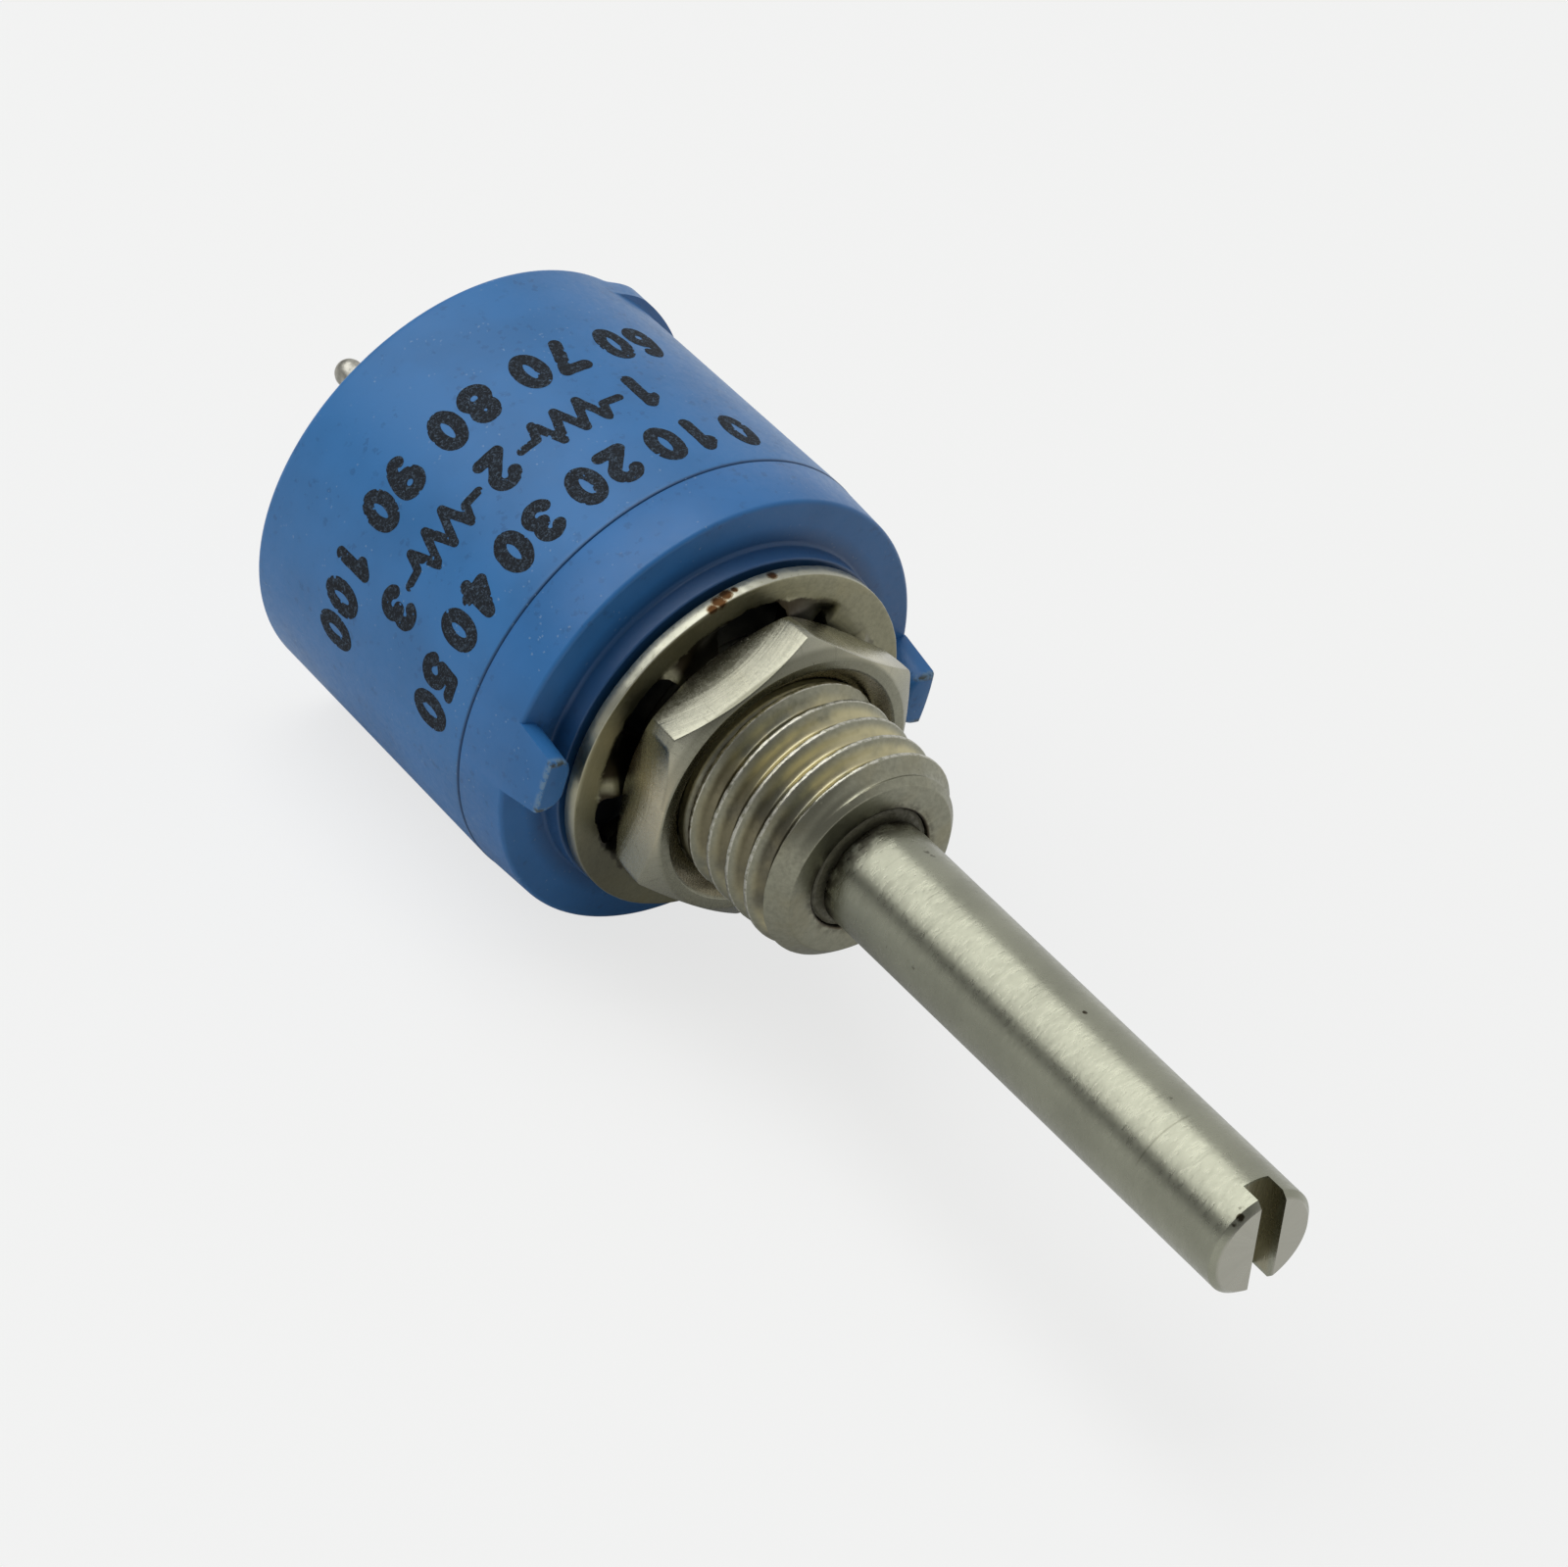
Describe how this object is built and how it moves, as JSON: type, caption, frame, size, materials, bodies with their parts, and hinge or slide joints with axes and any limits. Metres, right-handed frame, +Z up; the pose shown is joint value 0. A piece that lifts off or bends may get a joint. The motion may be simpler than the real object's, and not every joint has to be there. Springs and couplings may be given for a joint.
{
  "type": "rotary potentiometer",
  "caption": "Sealed half-inch panel potentiometer: blue moulded body, threaded bushing with nut and lock washer, slotted shaft, rear pins.",
  "frame": {"origin": "centre of the boss face that seats on the panel, on the shaft's axis", "axes": "-Y out along the shaft, +X through the right locating lug seen from the shaft's end, +Z up through the middle terminal"},
  "size_m": [0.0134, 0.0361, 0.0134],
  "materials": {
    "housing_plastic": "moulded, half gloss, black print",
    "cover_plastic": "moulded, half gloss",
    "seal_rubber": "greased rubber",
    "bushing_plate": "nickel-plated brass, dull",
    "shaft_steel": "ground steel",
    "spring_brass": "stamped spring metal",
    "spring_steel": "stamped spring steel",
    "rotor_plastic": "moulded phenolic",
    "ceramic_disc": "unglazed ceramic",
    "resistor_ink": "fired resistive film",
    "silver_ink": "fired silver film",
    "pin_tin": "tinned brass wire",
    "washer_plate": "plated spring steel, rust spots",
    "nut_plate": "nickel-plated brass, dull"
  },
  "bodies": {
    "body": {"housing": "housing_plastic", "front_cover": "cover_plastic", "cover_seal": "seal_rubber", "bushing": "bushing_plate", "substrate": "ceramic_disc", "resistive_track": "resistor_ink", "collector_ring": "silver_ink", "end_pad_left": "silver_ink", "end_pad_right": "silver_ink", "terminal_left": "pin_tin", "terminal_middle": "pin_tin", "terminal_right": "pin_tin", "lock_washer": "washer_plate", "hex_nut": "nut_plate"},
    "turning": {"shaft": "shaft_steel", "shaft_seal": "seal_rubber", "thrust_washer": "spring_brass", "retaining_ring": "spring_steel", "rotor": "rotor_plastic", "wiper": "spring_brass"}
  },
  "joints": [
    {"name": "shaft_turn", "type": "hinge", "parent": "body", "child": "turning", "pos_m": [0, 0, 0], "axis": [0, -1, 0], "range_deg": [-147.5, 147.5]}
  ]
}
